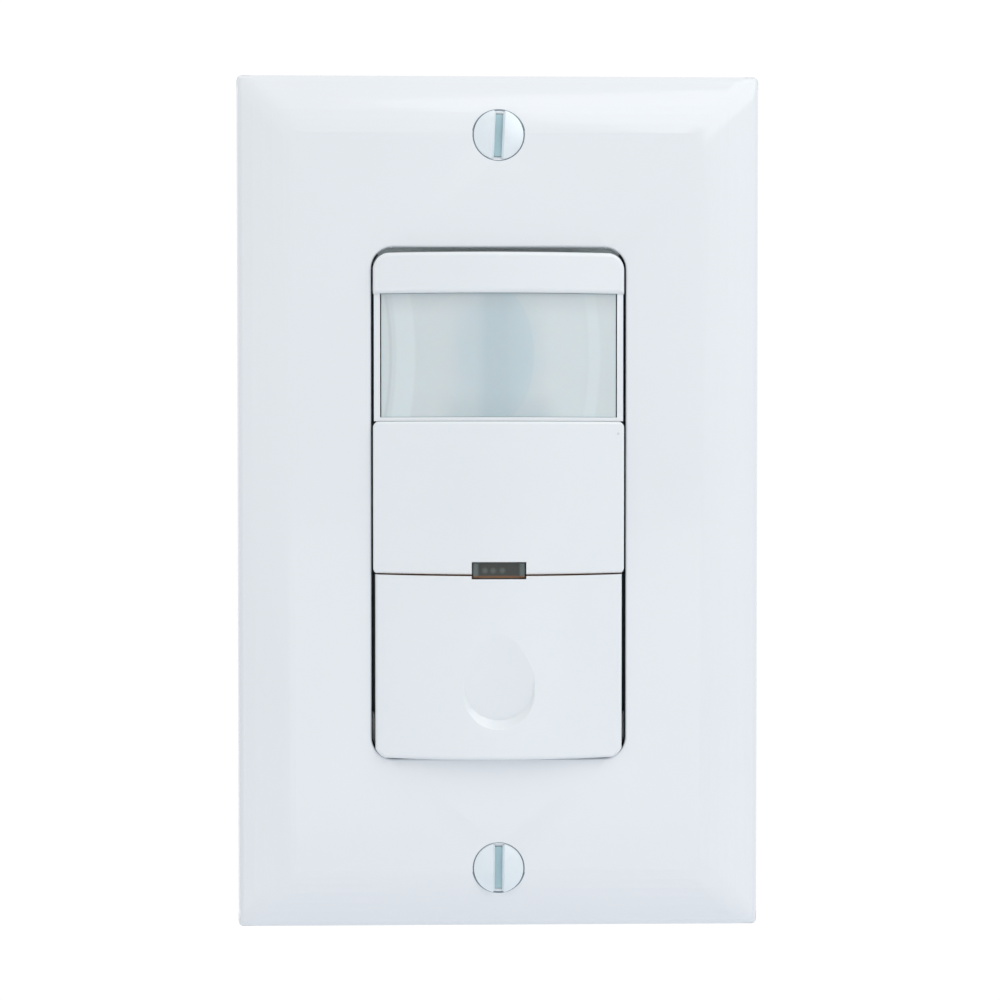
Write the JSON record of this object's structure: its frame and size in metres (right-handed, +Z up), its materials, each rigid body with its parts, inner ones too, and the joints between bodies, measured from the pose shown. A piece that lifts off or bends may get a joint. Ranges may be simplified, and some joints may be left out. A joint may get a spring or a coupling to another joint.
{
  "type": "motion sensor light switch",
  "caption": "Wall switch with a milky motion sensor lens, a pull-off middle cover over its setting dials, and a hinged push button, in a bevelled one-gang plate.",
  "frame": {"origin": "midway between the two box screw slots of the strap, on the wall's face", "axes": "+X right as seen from the room, +Y into the wall, +Z up"},
  "size_m": [0.07, 0.0364, 0.114],
  "materials": {
    "plate_white": "glossy moulded thermoset",
    "device_white": "glossy moulded thermoplastic",
    "lens_milk": "milky satin polyethylene sheet",
    "shroud_grey": "satin moulded plastic",
    "smoked_plastic": "smoked translucent, polished",
    "zinc_screw": "bright zinc plate",
    "strap_steel": "zinc plated sheet steel",
    "earth_green": "green dyed zinc plate",
    "housing_plastic": "fine textured black thermoplastic",
    "spring_steel": "bent spring strip",
    "board_green": "solder mask over glass epoxy",
    "sensor_can": "nickel plated can",
    "filter_glass": "dark coated silicon filter",
    "led_green": "clear tinted epoxy",
    "sensor_epoxy": "clear epoxy",
    "component_black": "moulded epoxy",
    "plunger_grey": "moulded nylon",
    "trimmer_blue": "moulded thermoplastic",
    "dial_white": "moulded nylon",
    "relay_case": "moulded thermoplastic",
    "capacitor_sleeve": "shrink sleeve over aluminium",
    "film_case": "potted box",
    "varistor_coat": "dipped epoxy",
    "fuse_body": "glazed tube with plated caps",
    "ferrite": "ferrite drum with lacquered winding",
    "brass": "bare brass",
    "brass_screw": "brass plated steel"
  },
  "bodies": {
    "device": {"wall_plate": "plate_white", "plate_screws": "zinc_screw", "mounting_strap": "strap_steel", "earth_screw": "earth_green", "front_bezel": "device_white", "sensor_lens": "lens_milk", "sensor_shroud": "shroud_grey", "indicator_window": "smoked_plastic", "button_springs": "spring_steel", "sensor_board": "board_green", "pyro_sensor": "sensor_can", "sensor_filter": "filter_glass", "status_led": "led_green", "light_sensor": "sensor_epoxy", "tact_switch": "component_black", "trimmers": "trimmer_blue", "control_chip": "component_black", "board_header": "component_black", "power_board": "board_green", "relay": "relay_case", "bulk_capacitor": "capacitor_sleeve", "film_capacitor": "film_case", "varistor": "varistor_coat", "fuse": "fuse_body", "rectifier": "component_black", "supply_inductor": "ferrite", "rear_housing": "housing_plastic", "housing_screws": "zinc_screw", "terminal_plates": "brass", "terminal_screws": "brass_screw"},
    "button": {"push_button": "device_white"},
    "plunger": {"tact_plunger": "plunger_grey"},
    "cover": {"control_cover": "device_white"},
    "time_setting": {"time_dial": "dial_white"},
    "light_setting": {"light_dial": "dial_white"},
    "range_setting": {"range_dial": "dial_white"}
  },
  "joints": [
    {"name": "button_press", "type": "hinge", "parent": "device", "child": "button", "pos_m": [0, -0.00435, -0.0066], "axis": [1, 0, 0], "range_deg": [0, 1.2], "stiffness_Nm_per_rad": 1.5, "springref_deg": -0.57, "deforming": ["button_springs"]},
    {"name": "plunger_press", "type": "slide", "parent": "device", "child": "plunger", "axis": [0, 1, 0], "range_m": [0, 0.0004]},
    {"name": "cover_pull", "type": "slide", "parent": "device", "child": "cover", "axis": [0, -1, 0], "range_m": [0, 0.022]},
    {"name": "time_turn", "type": "hinge", "parent": "device", "child": "time_setting", "pos_m": [-0.0095, -0.005, 0.0015], "axis": [0, -1, 0], "range_deg": [-135, 135]},
    {"name": "light_turn", "type": "hinge", "parent": "device", "child": "light_setting", "pos_m": [0, -0.005, 0.0015], "axis": [0, -1, 0], "range_deg": [-135, 135]},
    {"name": "range_turn", "type": "hinge", "parent": "device", "child": "range_setting", "pos_m": [0.0095, -0.005, 0.0015], "axis": [0, -1, 0], "range_deg": [-135, 135]}
  ],
  "couplings": [
    {"joint": "plunger_press", "follows": "button_press", "m_per_rad": 0.0174}
  ]
}
